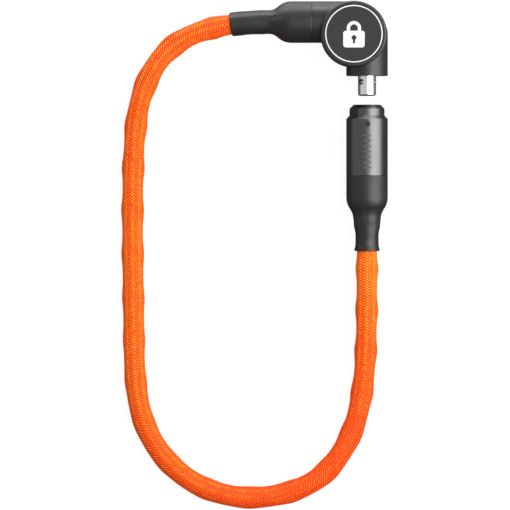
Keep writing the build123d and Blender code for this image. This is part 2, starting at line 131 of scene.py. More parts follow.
# camera: straight down from far off, so that upright sides hardly show
cameraSettings = {"x": -0.0664, "y": -0.1485, "frameWidth": 0.3432, "lens": 600.0, "sensor": 36.0,
                  "planeZ": 0.014, "sight": 20}


def makeCamera(c):
    data = bpy.data.cameras.new("camera")
    data.lens = c["lens"]
    data.sensor_width = c["sensor"]
    data.clip_end = c["sight"]
    camera = addObject("camera", data)
    camera.location = (c["x"], c["y"], c["planeZ"] + c["frameWidth"] * c["lens"] / c["sensor"])
    scene.camera = camera


makeCamera(cameraSettings)

ropeSettings = {
    "points": [
        (-0.056, 0.0082, 0.014), (-0.074, 0.0082, 0.014), (-0.102, 0.0032, 0.0105),
        (-0.121, -0.0062, 0.0077), (-0.1345, -0.021, 0.007), (-0.1443, -0.0435, 0.007),
        (-0.1482, -0.073, 0.007), (-0.1491, -0.125, 0.007), (-0.1482, -0.188, 0.007),
        (-0.1474, -0.236, 0.007), (-0.141, -0.265, 0.007), (-0.1255, -0.289, 0.007),
        (-0.1025, -0.306, 0.007), (-0.0715, -0.3135, 0.007), (-0.038, -0.308, 0.007),
        (-0.016, -0.294, 0.007), (-0.0005, -0.269, 0.007), (0.006, -0.2425, 0.007),
        (0.0086, -0.212, 0.007), (0.009, -0.165, 0.014), (0.009, -0.120, 0.014),
    ],
    "headSleeveEnd": (-0.0826, 0.0072, 0.0135), "barrelSleeveEnd": (0.009, -0.1465, 0.0135),
    "radius": 0.00738,        # over the yarns, midway between bulges
    "squeezed": 0.0069,       # where a sleeve holds it
    "bulge": 0.00044,         # how far a chain link pushes the braid out
    "bulgePitch": 0.0293,     # two links
    "firstBulge": 0.0135,     # past the head sleeve's end
    "wander": [(0.0016, 0.047, 1.3), (0.0011, 0.0231, 0.0)],    # size, length and phase, along the rope
    "swell": (0.85, 0.3, 0.083, 0.4),    # least share of a bulge, then size, length and phase
    "sleeveFade": 0.014,      # bulges come in over this length past a sleeve
    "flattensBelow": 0.0012,  # height over the surface, so that the yarns rest on it
    "yarnHeight": 0.0005,
    "inner": 0.00622,
    "around": 60,
    "step": 0.0015,
}


def ropeLine(points):
    curve = bpy.data.curves.new("ropeLine", "CURVE")
    curve.dimensions = "3D"
    curve.resolution_u = 40
    spline = curve.splines.new("NURBS")
    spline.points.add(len(points) - 1)
    for point, place in zip(spline.points, points):
        point.co = (*place, 1)
    spline.order_u = 3
    spline.use_endpoint_u = True
    line = addObject("ropeLine", curve)
    mesh = plainMesh(line)
    found = np.array([v.co for v in mesh.vertices], float)
    bpy.data.objects.remove(line)
    bpy.data.meshes.remove(mesh)
    return found


class Line:
    # a smooth line, its length, and its directions along, across (level) and up
    def __init__(self, points):
        self.points = np.array(points, float)
        runs = np.linalg.norm(np.diff(self.points, axis=0), axis=1)
        self.at = np.concatenate([[0], np.cumsum(runs)])
        self.length = float(self.at[-1])

    def place(self, s):
        s = np.asarray(s, float)
        return np.stack([np.interp(s, self.at, self.points[:, k]) for k in range(3)], axis=-1)

    def axes(self, s, reach=0.0015):
        s = np.asarray(s, float)
        along = self.place(np.minimum(s + reach, self.length)) - self.place(np.maximum(s - reach, 0))
        along /= np.linalg.norm(along, axis=-1, keepdims=True)
        across = np.cross(np.broadcast_to([0, 0, 1.0], along.shape), along)
        across /= np.linalg.norm(across, axis=-1, keepdims=True)
        return along, across, np.cross(along, across)

    def around(self, s, angle):
        # the way out at an angle, where 0 is level and on the left, and the way along
        along, across, up = self.axes(s)
        return across * np.cos(angle)[..., None] + up * np.sin(angle)[..., None], along

    def nearest(self, place):
        return float(self.at[np.argmin(np.linalg.norm(self.points - np.array(place), axis=1))])


ropePath = Line(ropeLine(ropeSettings["points"]))
headExit = ropePath.nearest(ropeSettings["headSleeveEnd"])
barrelExit = ropePath.nearest(ropeSettings["barrelSleeveEnd"])
print("rope line", round(ropePath.length, 4), "m, between its sleeves", round(barrelExit - headExit, 4), "m")


def ropeRadius(s, angle, r):
    # chain links lie flat and stand up in turn, so the bulge goes sideways and then upwards
    s, angle = np.asarray(s, float), np.asarray(angle, float)
    wander = sum(size * np.sin(s / length + phase) for size, length, phase in r["wander"])
    turn = 2 * np.pi * (s - headExit - r["firstBulge"] + wander) / r["bulgePitch"]
    least, size, length, phase = r["swell"]
    swell = least + size * np.sin(s / length + phase)
    wave = np.cos(turn) + 0.2 * np.cos(2 * turn)
    free = smoothStep((s - headExit) / r["sleeveFade"]) * smoothStep((barrelExit - s) / r["sleeveFade"])
    plain = r["squeezed"] + (r["radius"] - r["squeezed"]) * free
    return plain + r["bulge"] * swell * free * wave * np.cos(2 * angle)


def ropeSurface(s, angle, r, lift=0.0):
    # it flattens a little where it rests
    s, angle = np.broadcast_arrays(np.asarray(s, float), np.asarray(angle, float))
    out, along = ropePath.around(s, angle)
    places = ropePath.place(s) + out * (ropeRadius(s, angle, r) + lift)[..., None]
    low = r["flattensBelow"]
    z = places[..., 2]
    places[..., 2] = np.where(z < low, low * np.exp((z - low) / low), z)
    return places, out, along


def ringFaces(rings, n, closed=False):
    # quads between rings of n points, wound to face outwards where the rings run forwards
    faces = []
    for i in range(rings if closed else rings - 1):
        a, b = i * n, ((i + 1) % rings) * n
        for j in range(n):
            k = (j + 1) % n
            faces.append((a + j, a + k, b + k, b + j))
    return faces


def makeRopeTube(r):
    # outer skin out and inner skin back, joined at both ends
    count = int(ropePath.length / r["step"])
    n = r["around"]
    s = np.linspace(0, ropePath.length, count + 1)
    angle = np.linspace(0, 2 * np.pi, n, endpoint=False)[None, :]
    outer, out, _ = ropeSurface(s[:, None], angle, r, -r["yarnHeight"])
    inner = ropePath.place(s)[:, None, :] + out * r["inner"]
    points = np.concatenate([outer, inner[::-1]]).reshape(-1, 3)
    mesh = meshFrom("braidedRope", points, ringFaces(2 * (count + 1), n, closed=True))
    # u runs round the rope, v along it in metres
    v = np.repeat(np.concatenate([s, s[::-1]]), n)
    ropeMap = mesh.uv_layers.new(name="ropeMap")
    for polygon in mesh.polygons:
        turns = [i % n for i in polygon.vertices]
        wraps = max(turns) - min(turns) > n / 2
        for loop, i, turn in zip(polygon.loop_indices, polygon.vertices, turns):
            ropeMap.data[loop].uv = ((n if wraps and turn == 0 else turn) / n, v[i])
    return addObject("braidedRope", mesh)


rope = makeRopeTube(ropeSettings)
print("rope tube", len(rope.data.polygons), "faces")

braidSettings = {
    "pairs": 9,               # pairs of columns round the rope, left-leaning and right-leaning
    "rowPitch": 0.00182,
    "leftShare": 0.58,        # of a pair's width
    "lean": 35.0,             # degrees from straight across
    "overlap": 1.12,          # a float's length over its column's
    "fullness": 0.89,         # a float's width over its room
    "rightFullness": 1.03,    # right-leaning floats lie closer
    "height": 0.00062,
    "rightHeight": 0.00052,
    "sink": 0.00014,
    "topColumn": 90.0,        # degrees; a left-leaning column runs along the top
    "tuck": 0.006,            # how far the braid goes on inside a sleeve
    "unevenness": 0.05,       # of the lean, radians either way
    "seed": 11,
    # (share of the rope, painted light): painted shade below 0, redder; painted light above 0, yellower
    "paintedLightAlong": [(0.0, -0.08), (0.2, 0.03), (0.33, 0.14), (0.45, 0.08), (0.55, -0.2), (0.68, -0.6), (0.76, -0.72),
            (0.84, -0.3), (0.91, 0.2), (0.96, 0.6), (1.0, 0.72)],
}


def makeBraidTree():
    # one crowned float of yarn on every point of a lattice
    tree = bpy.data.node_groups.new("braidFloats", "GeometryNodeTree")
    given = addSockets(tree, {"Float Length": 0.004, "Float Width": 0.0015, "Float Height": 0.0005,
                              "Sink": 0.0001, "Lean": 0.6, "Unevenness": 0.05}, {"Seed": 1})

    # a flat strip, then its place as shares of half its length and width
    strip = addNode(tree, "GeometryNodeMeshGrid", {"Vertices X": 7, "Vertices Y": 5},
                    {"Size X": given["Float Length"], "Size Y": given["Float Width"]})
    size = addNode(tree, "ShaderNodeCombineXYZ", {2: 1.0}, {0: given["Float Length"], 1: given["Float Width"]})
    half = addNode(tree, "ShaderNodeVectorMath", {"operation": "SCALE", "Scale": 0.5}, {0: size.outputs[0]})
    position = addNode(tree, "GeometryNodeInputPosition")
    share = addNode(tree, "ShaderNodeVectorMath", {"operation": "DIVIDE"},
                    {0: position.outputs[0], 1: half.outputs[0]})
    square = addNode(tree, "ShaderNodeVectorMath", {"operation": "MULTIPLY"},
                     {0: share.outputs[0], 1: share.outputs[0]})
    squares = addNode(tree, "ShaderNodeSeparateXYZ", links={0: square.outputs[0]})
    fourth = addNode(tree, "ShaderNodeMath", {"operation": "MULTIPLY"},
                     {0: squares.outputs[0], 1: squares.outputs[0]})

    # crowned both ways: the root of (1 - x^4)(1 - y^2), less the part that is sunk in the braid
    crownX = addNode(tree, "ShaderNodeMath", {"operation": "SUBTRACT", "use_clamp": True, 0: 1.0},
                     {1: fourth.outputs[0]})
    crownY = addNode(tree, "ShaderNodeMath", {"operation": "SUBTRACT", "use_clamp": True, 0: 1.0},
                     {1: squares.outputs[1]})
    crown = addNode(tree, "ShaderNodeMath", {"operation": "MULTIPLY"},
                    {0: crownX.outputs[0], 1: crownY.outputs[0]})
    root = addNode(tree, "ShaderNodeMath", {"operation": "SQRT"}, {0: crown.outputs[0]})
    raised = addNode(tree, "ShaderNodeMath", {"operation": "MULTIPLY"},
                     {0: root.outputs[0], 1: given["Float Height"]})
    height = addNode(tree, "ShaderNodeMath", {"operation": "SUBTRACT"}, {0: raised.outputs[0], 1: given["Sink"]})

    # the tips draw in
    flat = addNode(tree, "ShaderNodeSeparateXYZ", links={0: position.outputs[0]})
    narrowing = addNode(tree, "ShaderNodeMath", {"operation": "MULTIPLY_ADD", 1: -0.4, 2: 1.0},
                        {0: fourth.outputs[0]})
    narrow = addNode(tree, "ShaderNodeMath", {"operation": "MULTIPLY"},
                     {0: flat.outputs[1], 1: narrowing.outputs[0]})
    moved = addNode(tree, "ShaderNodeCombineXYZ",
                    links={0: flat.outputs[0], 1: narrow.outputs[0], 2: height.outputs[0]})
    mapped = addNode(tree, "GeometryNodeStoreNamedAttribute",
                     {"data_type": "FLOAT_VECTOR", "domain": "POINT", "Name": "yarnPlace"},
                     {"Geometry": strip.outputs["Mesh"], "Value": share.outputs[0]})
    shaped = addNode(tree, "GeometryNodeSetPosition",
                     links={"Geometry": mapped.outputs[0], "Position": moved.outputs[0]})
    smooth = addNode(tree, "GeometryNodeSetShadeSmooth", {"Shade Smooth": True}, {"Geometry": shaped.outputs[0]})

    # facing out of the rope, leaning off its round, a little unevenly
    outward = addNode(tree, "GeometryNodeInputNamedAttribute", {"data_type": "FLOAT_VECTOR", "Name": "outward"})
    around = addNode(tree, "GeometryNodeInputNamedAttribute", {"data_type": "FLOAT_VECTOR", "Name": "around"})
    fit = addNode(tree, "GeometryNodeInputNamedAttribute", {"data_type": "FLOAT_VECTOR", "Name": "fit"})
    facing = addNode(tree, "FunctionNodeAxesToRotation", {"primary_axis": "Z", "secondary_axis": "X"},
                     {0: outward.outputs["Attribute"], 1: around.outputs["Attribute"]})
    least = addNode(tree, "ShaderNodeMath", {"operation": "SUBTRACT"}, {0: given["Lean"], 1: given["Unevenness"]})
    most = addNode(tree, "ShaderNodeMath", {"operation": "ADD"}, {0: given["Lean"], 1: given["Unevenness"]})
    lean = addNode(tree, "FunctionNodeRandomValue", {"data_type": "FLOAT"},
                   {2: least.outputs[0], 3: most.outputs[0], "Seed": given["Seed"]})
    leaning = addNode(tree, "ShaderNodeCombineXYZ", links={2: lean.outputs[1]})
    turned = addNode(tree, "FunctionNodeRotateRotation", {"rotation_space": "LOCAL"},
                     {0: facing.outputs[0], 1: leaning.outputs[0]})
    toneSeed = addNode(tree, "ShaderNodeMath", {"operation": "ADD", 1: 7.0}, {0: given["Seed"]})
    tone = addNode(tree, "FunctionNodeRandomValue", {"data_type": "FLOAT", 2: 0.0, 3: 1.0},
                   {"Seed": toneSeed.outputs[0]})
    toned = addNode(tree, "GeometryNodeStoreNamedAttribute",
                    {"data_type": "FLOAT", "domain": "POINT", "Name": "yarnTone"},
                    {"Geometry": given["Geometry"], "Value": tone.outputs[1]})
    placed = addNode(tree, "GeometryNodeInstanceOnPoints",
                     links={"Points": toned.outputs[0], "Instance": smooth.outputs[0],
                            "Rotation": turned.outputs[0], "Scale": fit.outputs["Attribute"]})
    real = addNode(tree, "GeometryNodeRealizeInstances", links={"Geometry": placed.outputs[0]})
    painted = addNode(tree, "GeometryNodeSetMaterial",
                      links={"Geometry": real.outputs[0], "Material": given["Material"]})
    addNode(tree, "NodeGroupOutput", links={"Geometry": painted.outputs[0]})
    return tree


def makeFloats(name, b, r, left, material):
    # columns run straight along the rope; each row of floats is a pick of the braid
    pairTurn = 2 * np.pi / b["pairs"]
    share = b["leftShare"] if left else 1 - b["leftShare"]
    start = math.radians(b["topColumn"]) + (0 if left else pairTurn / 2)
    columns = start + pairTurn * np.arange(b["pairs"])
    rows = np.arange(headExit - b["tuck"], barrelExit + b["tuck"], b["rowPitch"])
    rows = rows + (0 if left else b["rowPitch"] / 2)
    s, angle = np.meshgrid(rows, columns, indexing="ij")
    places, out, along = ropeSurface(s, angle, r, -r["yarnHeight"])
    mesh = meshFrom(name, places.reshape(-1, 3), [])
    width = ropeRadius(s, angle, r) / r["radius"]
    fit = np.stack([width, np.ones_like(width), np.ones_like(width)], axis=-1)
    addVectors(mesh, {"outward": out, "around": np.cross(out, along), "fit": fit})
    # painted light and shade along the rope, read from the table above
    paintedLightAlong = np.interp(s / ropePath.length, *zip(*b["paintedLightAlong"]))
    mesh.attributes.new("yarnPaintedLight", "FLOAT", "POINT").data.foreach_set("value", paintedLightAlong.reshape(-1).astype(np.float32))
    lean = math.radians(b["lean"])
    piece = growPiece(name, mesh, braidTree, {
        "Float Length": pairTurn * share * r["radius"] * b["overlap"] / math.cos(lean),
        "Float Width": b["rowPitch"] * math.cos(lean) * b["fullness" if left else "rightFullness"],
        "Float Height": b["height" if left else "rightHeight"],
        "Sink": b["sink"],
        "Lean": -lean if left else lean,
        "Unevenness": b["unevenness"],
        "Seed": b["seed"] + (0 if left else 1),
        "Material": material,
    })
    print(name, len(rows) * b["pairs"], "floats,", len(piece.data.polygons), "faces")
    return piece


chainSettings = {
    "start": (-0.03235, 0.0082, 0.014), "end": (0.009, -0.09935, 0.014),    # the anchor pins
    "links": 47,
    "wire": 0.0017,           # its radius
    "halfWidth": 0.0037,      # from a link's middle to its wire's middle
    "slack": 0.00015,
    "wireSides": 10,
}


def makeChainTree():
    # a link is a round wire along a rounded loop; flat and standing links take turns
    tree = bpy.data.node_groups.new("chainLinks", "GeometryNodeTree")
    given = addSockets(tree, {"Loop Length": 0.018, "Loop Width": 0.0074, "Wire Radius": 0.0017},
                       {"Wire Sides": 10})
    loop = addNode(tree, "GeometryNodeCurvePrimitiveQuadrilateral", {"mode": "RECTANGLE"},
                   {"Width": given["Loop Length"], "Height": given["Loop Width"]})
    bend = addNode(tree, "ShaderNodeMath", {"operation": "MULTIPLY", 1: 0.499}, {0: given["Loop Width"]})
    rounded = addNode(tree, "GeometryNodeFilletCurve", {"mode": "POLY", "Count": 5},
                      {"Curve": loop.outputs[0], "Radius": bend.outputs[0]})
    wire = addNode(tree, "GeometryNodeCurvePrimitiveCircle", {"mode": "RADIUS"},
                   {"Resolution": given["Wire Sides"], "Radius": given["Wire Radius"]})
    link = addNode(tree, "GeometryNodeCurveToMesh",
                   links={"Curve": rounded.outputs[0], "Profile Curve": wire.outputs[0]})
    smooth = addNode(tree, "GeometryNodeSetShadeSmooth", {"Shade Smooth": True}, {"Geometry": link.outputs[0]})
    run = addNode(tree, "GeometryNodeInputNamedAttribute", {"data_type": "FLOAT_VECTOR", "Name": "run"})
    face = addNode(tree, "GeometryNodeInputNamedAttribute", {"data_type": "FLOAT_VECTOR", "Name": "face"})
    turned = addNode(tree, "FunctionNodeAxesToRotation", {"primary_axis": "X", "secondary_axis": "Z"},
                     {0: run.outputs["Attribute"], 1: face.outputs["Attribute"]})
    placed = addNode(tree, "GeometryNodeInstanceOnPoints",
                     links={"Points": given["Geometry"], "Instance": smooth.outputs[0],
                            "Rotation": turned.outputs[0]})
    real = addNode(tree, "GeometryNodeRealizeInstances", links={"Geometry": placed.outputs[0]})
    painted = addNode(tree, "GeometryNodeSetMaterial",
                      links={"Geometry": real.outputs[0], "Material": given["Material"]})
    addNode(tree, "NodeGroupOutput", links={"Geometry": painted.outputs[0]})
    return tree


def makeChain(c, material):
    line = Line([c["start"], *ropePath.points, c["end"]])
    pitch = line.length / c["links"]
    ends = line.place(np.arange(c["links"] + 1) * pitch)
    run = np.diff(ends, axis=0)
    run /= np.linalg.norm(run, axis=1, keepdims=True)
    across = np.cross([0, 0, 1.0], run)
    across /= np.linalg.norm(across, axis=1, keepdims=True)
    face = np.where((np.arange(c["links"]) % 2 == 0)[:, None], np.cross(run, across), across)
    mesh = meshFrom("coreChain", (ends[:-1] + ends[1:]) / 2, [])
    addVectors(mesh, {"run": run, "face": face})
    piece = growPiece("coreChain", mesh, makeChainTree(), {
        "Loop Length": pitch + 2 * (c["wire"] + c["slack"]), "Loop Width": 2 * c["halfWidth"],
        "Wire Radius": c["wire"], "Wire Sides": c["wireSides"], "Material": material,
    })
    print("chain", c["links"], "links, pitch", round(pitch * 1000, 2), "mm,", len(piece.data.polygons), "faces")
    return piece


linerSettings = {"outer": 0.00618, "inner": 0.0058, "around": 32, "step": 0.004}


def makeLiner(c):
    count = int(ropePath.length / c["step"])
    s = np.linspace(0, ropePath.length, count + 1)
    angle = np.linspace(0, 2 * np.pi, c["around"], endpoint=False)[None, :]
    out, _ = ropePath.around(s[:, None], angle)
    middle = ropePath.place(s)[:, None]
    rings = np.concatenate([middle + out * c["outer"], (middle + out * c["inner"])[::-1]])
    mesh = meshFrom("chainLiner", rings.reshape(-1, 3), ringFaces(len(rings), c["around"], closed=True))
    return addObject("chainLiner", mesh)


def newMaterial(name):
    material = bpy.data.materials.new(name)
    material.use_nodes = True
    tree = material.node_tree
    tree.nodes.clear()
    shader = addNode(tree, "ShaderNodeBsdfPrincipled")
    addNode(tree, "ShaderNodeOutputMaterial", links={0: shader.outputs[0]})
    return material, tree, shader


def dress(tree, shader, values, sources):
    for name, value in values.items():
        shader.inputs[name].default_value = value
    for name, source in sources.items():
        tree.links.new(source, shader.inputs[name])


yarnLook = {
    "light": "#FA8E20", "deep": "#F54C0C", "shadow": "#D63205",
    "paintedGlow": 0.12,          # painted glow: a constant red emission that lifts the yarn's shade, standing in for fluorescence
    "filaments": 7.0,         # across a float; real ones are near 0.02 mm, drawn coarser so that they show
    "roughness": 0.5,
    "lustre": 0.8, "lustreTint": "#FFC480",
    "paintedGlowColour": "#FF4C08",
    "underPaintedShadeDark": "#9C2403", "underPaintedShadePale": "#CC3806",    # painted shade: the same yarn down between the floats, painted darker red
    "underGrain": (46.0, 1100.0, 1.0),                 # marks round the rope, and to the metre along it
    # from deep (0) to light (1) on a float's crown, and how far its tips go into painted shade; the left-leaning
    # floats are painted lit and the right-leaning ones painted shaded
    "leftLeaningPaintedLit": {"low": 0.06, "high": 1.12, "tips": 1.0},
    "rightLeaningPaintedShade": {"low": -0.28, "high": 0.3, "tips": 0.55},
}


def makeYarn(name, look, lean):
    # polyester multifilament in bright orange: lustre on each crown, painted shade where a float dives,
    # painted light and shade along the rope, and a painted red glow
    material, tree, shader = newMaterial(name)
    place = addNode(tree, "ShaderNodeAttribute", {"attribute_name": "yarnPlace"})
    tone = addNode(tree, "ShaderNodeAttribute", {"attribute_name": "yarnTone"})
    stretched = addNode(tree, "ShaderNodeMapping", {"Scale": (1.0, look["filaments"], 1.0)},
                        {"Vector": place.outputs["Vector"]})
    shift = addNode(tree, "ShaderNodeVectorMath", {"operation": "SCALE", 0: (37.0, 37.0, 37.0)},
                    {"Scale": tone.outputs["Fac"]})
    own = addNode(tree, "ShaderNodeVectorMath", {"operation": "ADD"},
                  {0: stretched.outputs[0], 1: shift.outputs[0]})
    fibres = addNode(tree, "ShaderNodeTexNoise", {"Scale": 1.0, "Detail": 3.0, "Roughness": 0.6},
                     {"Vector": own.outputs[0]})
    mixed = addNode(tree, "ShaderNodeMath", {"operation": "MULTIPLY_ADD", 1: 0.5},
                    {0: tone.outputs["Fac"], 2: fibres.outputs[0]})
    body = addNode(tree, "ShaderNodeMapRange",
                   {"From Min": 0.25, "From Max": 1.1, "To Min": lean["low"], "To Max": lean["high"]},
                   {"Value": mixed.outputs[0]})
    # painted light and shade along the rope, added to the crown's tone: redder where shaded, yellower where lit
    paintedLightAlong = addNode(tree, "ShaderNodeAttribute", {"attribute_name": "yarnPaintedLight"})
    toneWithPaintedLight = addNode(tree, "ShaderNodeMath", {"operation": "ADD", "use_clamp": True},
                   {0: body.outputs[0], 1: paintedLightAlong.outputs["Fac"]})
    crown = addNode(tree, "ShaderNodeMix",
                    {"data_type": "RGBA", 6: hexToLinear(look["deep"]), 7: hexToLinear(look["light"])},
                    {0: toneWithPaintedLight.outputs[0]})
    size = addNode(tree, "ShaderNodeVectorMath", {"operation": "ABSOLUTE"}, {0: place.outputs["Vector"]})
    sides = addNode(tree, "ShaderNodeSeparateXYZ", links={0: size.outputs[0]})
    furthest = addNode(tree, "ShaderNodeMath", {"operation": "MAXIMUM"},
                       {0: sides.outputs[0], 1: sides.outputs[1]})
    # painted shade: a float's tips are mixed toward the shadow colour where it dives
    paintedDiveShade = addNode(tree, "ShaderNodeMapRange",
                   {"interpolation_type": "SMOOTHSTEP", "From Min": 0.45, "From Max": 1.0,
                    "To Max": lean["tips"]}, {"Value": furthest.outputs[0]})
    colour = addNode(tree, "ShaderNodeMix", {"data_type": "RGBA", 7: hexToLinear(look["shadow"])},
                     {0: paintedDiveShade.outputs[0], 6: crown.outputs[2]})
    bump = addNode(tree, "ShaderNodeBump", {"Strength": 0.5, "Distance": 0.0001}, {"Height": fibres.outputs[0]})
    # painted glow: the yarn emits a constant red that lifts its shade
    dress(tree, shader, {"Roughness": look["roughness"], "Specular IOR Level": look["lustre"],
                         "Specular Tint": hexToLinear(look["lustreTint"]),
                         "Emission Color": hexToLinear(look["paintedGlowColour"]),
                         "Emission Strength": look["paintedGlow"]},
          {"Base Color": colour.outputs[2], "Normal": bump.outputs[0]})
    return material


def makeUnderYarn(name, look):
    # the same yarn seen down between the floats: matt, painted darker red as the shade that falls there
    material, tree, shader = newMaterial(name)
    at = addNode(tree, "ShaderNodeUVMap", {"uv_map": "ropeMap"})
    picks = addNode(tree, "ShaderNodeMapping", {"Scale": look["underGrain"]}, {"Vector": at.outputs[0]})
    mottle = addNode(tree, "ShaderNodeTexNoise", {"Scale": 1.0, "Detail": 2.0}, {"Vector": picks.outputs[0]})
    colour = addNode(tree, "ShaderNodeMix",
                     {"data_type": "RGBA", 6: hexToLinear(look["underPaintedShadeDark"]), 7: hexToLinear(look["underPaintedShadePale"])},
                     {0: mottle.outputs[0]})
    dress(tree, shader, {"Roughness": 0.8, "Specular IOR Level": 0.2}, {"Base Color": colour.outputs[2]})
    return material


metalSettings = {"broad": 60.0, "handling": 90.0, "edgeRadius": 0.0003, "bumpDepth": 0.00004,
                 "smoother": 0.88, "rougher": 1.15}


def makeMetal(name, look):
    # fine lines round the lathe's axis, or an even grain if it has none; handling marks; edges rubbed brighter
    material, tree, shader = newMaterial(name)
    at = addNode(tree, "ShaderNodeTexCoord")
    fine = 1 / look["grain"]
    scale = [fine] * 3 if look["axis"] is None else [metalSettings["broad"]] * 3
    if look["axis"] is not None:
        scale[look["axis"]] = fine
    lines = addNode(tree, "ShaderNodeMapping", {"Scale": scale}, {"Vector": at.outputs["Object"]})
    grain = addNode(tree, "ShaderNodeTexNoise", {"Scale": 1.0, "Detail": 2.0, "Roughness": 0.55},
                    {"Vector": lines.outputs[0]})
    handled = addNode(tree, "ShaderNodeTexNoise",
                      {"Scale": metalSettings["handling"], "Detail": 4.0, "Roughness": 0.6},
                      {"Vector": at.outputs["Object"]})
    rough = addNode(tree, "ShaderNodeMapRange",
                    {"From Min": 0.3, "From Max": 0.7, "To Min": look["roughness"] * metalSettings["smoother"],
                     "To Max": look["roughness"] * metalSettings["rougher"]},
                    {"Value": handled.outputs[0]})
    rounded = addNode(tree, "ShaderNodeBevel", {"samples": 4, "Radius": metalSettings["edgeRadius"]})
    geometry = addNode(tree, "ShaderNodeNewGeometry")
    flatness = addNode(tree, "ShaderNodeVectorMath", {"operation": "DOT_PRODUCT"},
                       {0: rounded.outputs[0], 1: geometry.outputs["Normal"]})
    edge = addNode(tree, "ShaderNodeMapRange",
                   {"From Min": 0.99, "From Max": 0.85, "To Min": 0.0, "To Max": look["wear"]},
                   {"Value": flatness.outputs["Value"]})
    worn = addNode(tree, "ShaderNodeMath", {"operation": "MULTIPLY", "use_clamp": True},
                   {0: edge.outputs[0], 1: handled.outputs[0]})
    colour = addNode(tree, "ShaderNodeMix",
                     {"data_type": "RGBA", 6: hexToLinear(look["colour"]), 7: hexToLinear(look["rubbed"])},
                     {0: worn.outputs[0]})
    bump = addNode(tree, "ShaderNodeBump", {"Strength": look["bump"], "Distance": metalSettings["bumpDepth"]},
                   {"Height": grain.outputs[0]})
    dress(tree, shader, {"Metallic": look["metallic"]},
          {"Base Color": colour.outputs[2], "Roughness": rough.outputs[0], "Normal": bump.outputs[0]})
    return material


metalLooks = {
    # zinc casting under satin black powder: an even, faintly pebbled coat with a soft sheen
    "zincPowderCoated": {"colour": "#161617", "rubbed": "#343436", "metallic": 0.0, "roughness": 0.38,
                         "grain": 0.0005, "axis": None, "bump": 0.35, "wear": 0.5},
    # turned aluminium, anodised black: metal gloss under a dark dyed skin, so highlights are long and grey
    "aluminiumAnodisedBlack": {"colour": "#5A5A5B", "rubbed": "#828284", "metallic": 1.0, "roughness": 0.3,
                               "grain": 0.0003, "axis": 1, "bump": 0.2, "wear": 0.5},
    # hardened steel, ground and polished: bright, mirror-like with a trace of grinding
    "steelPolished": {"colour": "#E6E6E7", "rubbed": "#F4F4F4", "metallic": 1.0, "roughness": 0.17,
                      "grain": 0.0002, "axis": 1, "bump": 0.12, "wear": 0.3},
    # bearing ball: a true mirror, so it shows dark surroundings with one bright spot
    "steelBallLapped": {"colour": "#A8A8AB", "rubbed": "#B4B4B6", "metallic": 1.0, "roughness": 0.06,
                        "grain": 0.0002, "axis": None, "bump": 0.03, "wear": 0.1},
    # bar steel as turned: greyer, with lines that show
    "steelTurned": {"colour": "#A9A9AC", "rubbed": "#C8C8CA", "metallic": 1.0, "roughness": 0.32,
                    "grain": 0.0003, "axis": 2, "bump": 0.4, "wear": 0.5},
    # zinc-plated steel: pale, slightly warm and cloudy
    "steelZincPlated": {"colour": "#B4B3AC", "rubbed": "#CFCEC8", "metallic": 1.0, "roughness": 0.38,
                        "grain": 0.0006, "axis": None, "bump": 0.35, "wear": 0.5},
    # blackened screw: dull black with steel at its edges
    "steelBlackOxide": {"colour": "#39393B", "rubbed": "#6A6A6C", "metallic": 0.9, "roughness": 0.42,
                        "grain": 0.0004, "axis": None, "bump": 0.3, "wear": 0.6},
    # free-cutting brass as turned: warm yellow, lines that show
    "brassTurned": {"colour": "#C7A059", "rubbed": "#E2C587", "metallic": 1.0, "roughness": 0.28,
                    "grain": 0.0003, "axis": 2, "bump": 0.35, "wear": 0.5},
}


heatShrinkLook = {"dark": "#0D0E0E", "pale": "#181919", "pebbles": 1400.0, "bloom": 75.0,
                  "smooth": 0.38, "matt": 0.5}


def makeHeatShrink(name, look):
    # polyolefin heat-shrink: soft black with a waxy bloom, finely pebbled
    material, tree, shader = newMaterial(name)
    at = addNode(tree, "ShaderNodeTexCoord")
    pebbles = addNode(tree, "ShaderNodeTexNoise", {"Scale": look["pebbles"], "Detail": 2.0},
                      {"Vector": at.outputs["Object"]})
    bloom = addNode(tree, "ShaderNodeTexNoise", {"Scale": look["bloom"], "Detail": 4.0, "Roughness": 0.6},
                    {"Vector": at.outputs["Object"]})
    colour = addNode(tree, "ShaderNodeMix",
                     {"data_type": "RGBA", 6: hexToLinear(look["dark"]), 7: hexToLinear(look["pale"])},
                     {0: bloom.outputs[0]})
    rough = addNode(tree, "ShaderNodeMapRange",
                    {"From Min": 0.3, "From Max": 0.7, "To Min": look["smooth"], "To Max": look["matt"]},
                    {"Value": bloom.outputs[0]})
    bump = addNode(tree, "ShaderNodeBump", {"Strength": 0.3, "Distance": 0.00005}, {"Height": pebbles.outputs[0]})
    dress(tree, shader, {}, {"Base Color": colour.outputs[2], "Roughness": rough.outputs[0],
                             "Normal": bump.outputs[0]})
    return material


def makeFineGrained(name, look):
    # one fine grain that moves the colour a little and lifts the surface
    material, tree, shader = newMaterial(name)
    at = addNode(tree, "ShaderNodeTexCoord")
    grain = addNode(tree, "ShaderNodeTexNoise", {"Scale": look["scale"], "Detail": look["detail"]},
                    {"Vector": at.outputs["Object"]})
    colour = addNode(tree, "ShaderNodeMix",
                     {"data_type": "RGBA", 6: hexToLinear(look["dark"]), 7: hexToLinear(look["pale"])},
                     {0: grain.outputs[0]})
    bump = addNode(tree, "ShaderNodeBump", {"Strength": look["bump"], "Distance": look["depth"]},
                   {"Height": grain.outputs[0]})
    dress(tree, shader, {"Roughness": look["roughness"], "Specular IOR Level": look["specular"]},
          {"Base Color": colour.outputs[2], "Normal": bump.outputs[0]})
    return material


